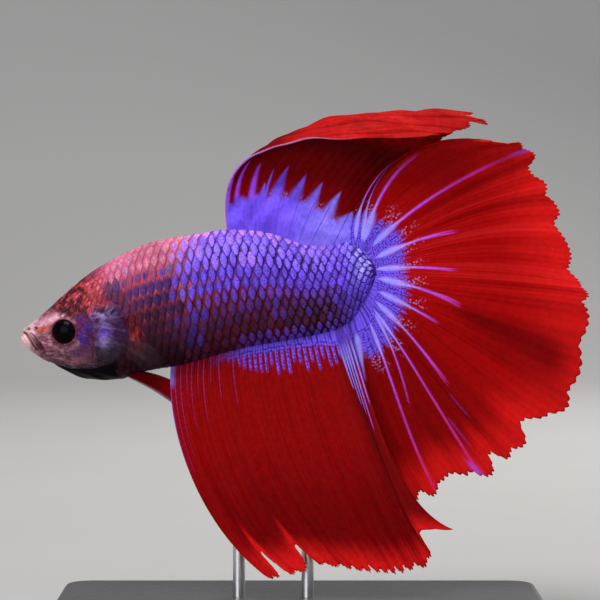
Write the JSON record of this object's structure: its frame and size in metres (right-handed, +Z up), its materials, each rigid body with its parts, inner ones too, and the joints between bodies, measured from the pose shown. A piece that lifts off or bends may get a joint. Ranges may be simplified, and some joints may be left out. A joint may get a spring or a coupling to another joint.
{
  "type": "betta fish",
  "caption": "Male halfmoon betta with spread dorsal, tail and anal fins, a still life-size model held level on a flat base by rods.",
  "frame": {"origin": "middle of the stand's underside, on the surface that the model stands on", "axes": "+Z up, -X toward the fish's snout, -Y toward the fish's left side"},
  "size_m": [0.074, 0.036, 0.0689],
  "materials": {
    "head_skin": "satin skin, red mottled with maroon",
    "jaw_skin": "satin pale pink skin",
    "throat_skin": "soft near-black membrane",
    "gill_skin": "pale lilac-blue sheen",
    "eye_black": "wet black gloss",
    "scaled_skin": "iridescent blue-violet scales with dark edges",
    "fin_red": "thin red membrane with fine rays, slightly translucent",
    "fin_clear": "thin greyish membrane",
    "stand_black": "satin black acrylic",
    "stand_steel": "fine brushed"
  },
  "bodies": {
    "root": {"head": "head_skin", "lower_jaw": "jaw_skin", "throat": "throat_skin", "gill_cover_left": "gill_skin", "gill_cover_right": "gill_skin", "eye_left": "eye_black", "eye_right": "eye_black", "trunk": "scaled_skin", "tail_base": "scaled_skin", "dorsal_fin": "fin_red", "caudal_fin": "fin_red", "anal_fin": "fin_red", "pelvic_fin_left": "fin_red", "pelvic_fin_right": "fin_red", "pectoral_fin_left": "fin_clear", "pectoral_fin_right": "fin_clear", "stand_base": "stand_black", "stand_rod_front": "stand_steel", "stand_rod_rear": "stand_steel"}
  },
  "joints": []
}
